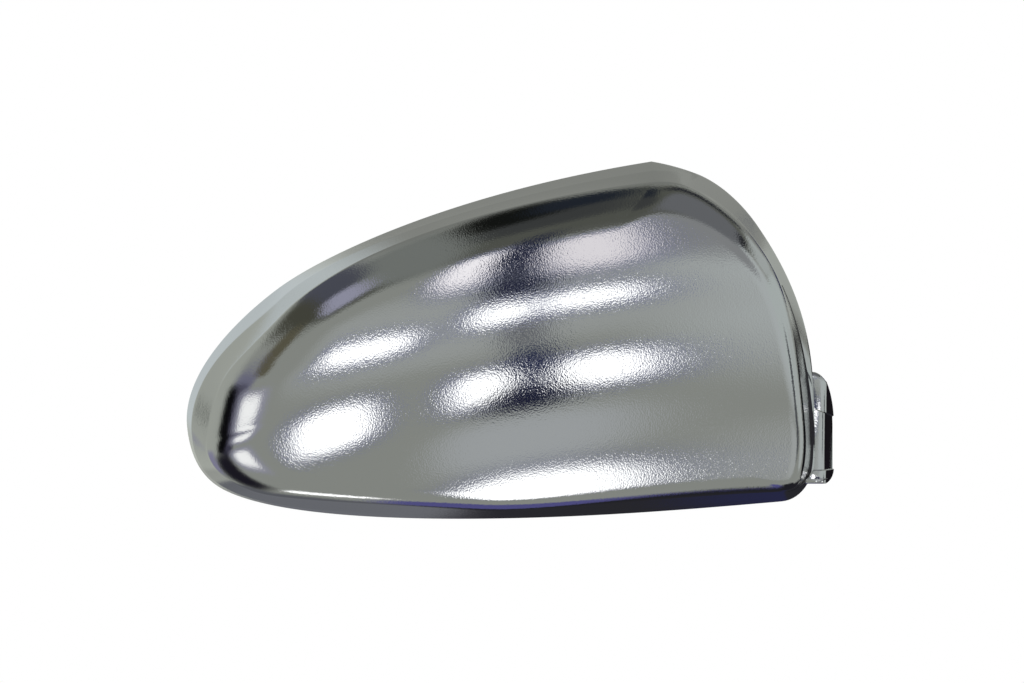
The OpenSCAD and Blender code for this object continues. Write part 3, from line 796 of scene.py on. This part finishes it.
def makeWorld():  # the room that the plate mirrors, patch over patch; the camera itself sees plain white
    world = bpy.data.worlds.new("studioRoom")
    bpy.context.scene.world = world
    world.use_nodes = True
    tree = world.node_tree
    tree.nodes.clear()
    place = addNode(tree, "ShaderNodeTexCoord").outputs["Generated"]
    parts = addNode(tree, "ShaderNodeSeparateXYZ", links={0: place}).outputs
    towards = addNode(tree, "ShaderNodeMath", {"operation": "MULTIPLY"}, {0: parts[1]}, {1: -1.0}).outputs[0]
    angles = {}
    for name, operation, sockets in (("azimuth", "ARCTAN2", {0: parts[0], 1: towards}),
                                     ("elevation", "ARCSINE", {0: parts[2]}),
                                     ("turn", "ARCTAN2", {0: parts[2], 1: parts[0]}),
                                     ("spread", "ARCCOSINE", {0: towards})):
        angle = addNode(tree, "ShaderNodeMath", {"operation": operation}, sockets).outputs[0]
        angles[name] = addNode(tree, "ShaderNodeMath", {"operation": "DEGREES"}, {0: angle}).outputs[0]
    leaned = addNode(tree, "ShaderNodeMath", {"operation": "MULTIPLY_ADD"},
                     {0: angles["elevation"], 2: angles["azimuth"]}, {1: studio["lean"]}).outputs[0]
    turned = addNode(tree, "ShaderNodeMath", {"operation": "WRAP"}, {0: angles["turn"]}, {1: 390.0, 2: 30.0}).outputs[0]
    aheadAngles = addNode(tree, "ShaderNodeCombineXYZ", links={0: leaned, 1: angles["elevation"]}).outputs[0]
    aroundAngles = addNode(tree, "ShaderNodeCombineXYZ", links={0: turned, 1: angles["spread"]}).outputs[0]
    wider, higher, *edge = studio["halo"]
    halos = [(left - wider, right + wider, low - higher, high + higher, *edge)
             for left, right, low, high in (light[:4] for light in studio["lights"])]
    seen = None
    for vector, group in ((aheadAngles, studio["ahead"]), (aroundAngles, studio["around"]), (aheadAngles, halos),
                          (aheadAngles, studio["lights"]), (aheadAngles, studio["noseLights"]),
                          (aheadAngles, studio["gaps"])):
        for left, right, low, high, soft, color, level in group:
            away = addNode(tree, "ShaderNodeVectorMath", {"operation": "SUBTRACT"}, {0: vector},
                           {1: ((left + right) / 2, (low + high) / 2, 0)}).outputs[0]
            share = addNode(tree, "ShaderNodeVectorMath", {"operation": "DIVIDE"}, {0: away},
                            {1: ((right - left) / 2, (high - low) / 2, 1)}).outputs[0]
            size = addNode(tree, "ShaderNodeVectorMath", {"operation": "ABSOLUTE"}, {0: share}).outputs[0]
            power = addNode(tree, "ShaderNodeVectorMath", {"operation": "POWER"}, {0: size},
                            {1: (studio["corner"], studio["corner"], 1)}).outputs[0]
            reach = addNode(tree, "ShaderNodeVectorMath", {"operation": "DOT_PRODUCT"}, {0: power},
                            {1: (1, 1, 0)}).outputs["Value"]
            mask = addNode(tree, "ShaderNodeMapRange", {"interpolation_type": "SMOOTHSTEP"}, {"Value": reach},
                           {"From Min": 1 + soft, "From Max": 1 - soft, "To Min": 0.0, "To Max": 1.0}).outputs["Result"]
            painted = addNode(tree, "ShaderNodeMix", {"data_type": "RGBA"}, {0: mask},
                              {6: linearColor(studio["room"]), 7: linearColor(color, level)})
            if seen:
                tree.links.new(seen, painted.inputs[6])
            seen = painted.outputs[2]
    room = addNode(tree, "ShaderNodeBackground", links={"Color": seen}, values={"Strength": 1.0}).outputs[0]
    white = addNode(tree, "ShaderNodeBackground", values={"Color": (1, 1, 1, 1), "Strength": 1.0}).outputs[0]
    cameraRay = addNode(tree, "ShaderNodeLightPath").outputs["Is Camera Ray"]
    shown = addNode(tree, "ShaderNodeMixShader", links={0: cameraRay, 1: room, 2: white}).outputs[0]
    addNode(tree, "ShaderNodeOutputWorld", links={"Surface": shown})


def makeFloor():
    deselectAll()
    bpy.ops.mesh.primitive_plane_add(size=1, location=studio["floorPlace"])
    floor = bpy.context.active_object
    floor.name = "floor"
    floor.scale = studio["floorSize"]
    bpy.ops.object.transform_apply(location=True, rotation=True, scale=True)
    material, tree = emptyMaterial("paleFloorPaper")  # matt paper that takes the cover's shadow
    cameraRay = addNode(tree, "ShaderNodeLightPath").outputs["Is Camera Ray"]
    paper = addNode(tree, "ShaderNodeBsdfDiffuse", values={"Color": linearColor(studio["floorColor"])}).outputs[0]
    strength = addNode(tree, "ShaderNodeMath", {"operation": "MULTIPLY"}, {0: cameraRay},
                       {1: studio["floorGlow"]}).outputs[0]
    glow = addNode(tree, "ShaderNodeEmission", links={"Strength": strength}, values={"Color": (1, 1, 1, 1)}).outputs[0]
    both = addNode(tree, "ShaderNodeAddShader", links={0: paper, 1: glow}).outputs[0]
    addNode(tree, "ShaderNodeOutputMaterial", links={"Surface": both})
    floor.data.materials.append(material)
    floor.visible_glossy = False  # the plate mirrors the studio only


makeWorld()
makeFloor()
bpy.ops.object.camera_add(location=(studio["cameraX"], -studio["cameraDistance"], 0),
                          rotation=(math.radians(90), 0, 0))
camera = bpy.context.active_object
camera.data.lens = studio["lens"]
camera.data.sensor_width = studio["sensorWidth"]
camera.data.clip_start = 0.01
bpy.context.scene.camera = camera
bpy.context.scene.view_settings.view_transform = "Standard"
print("studio ready")
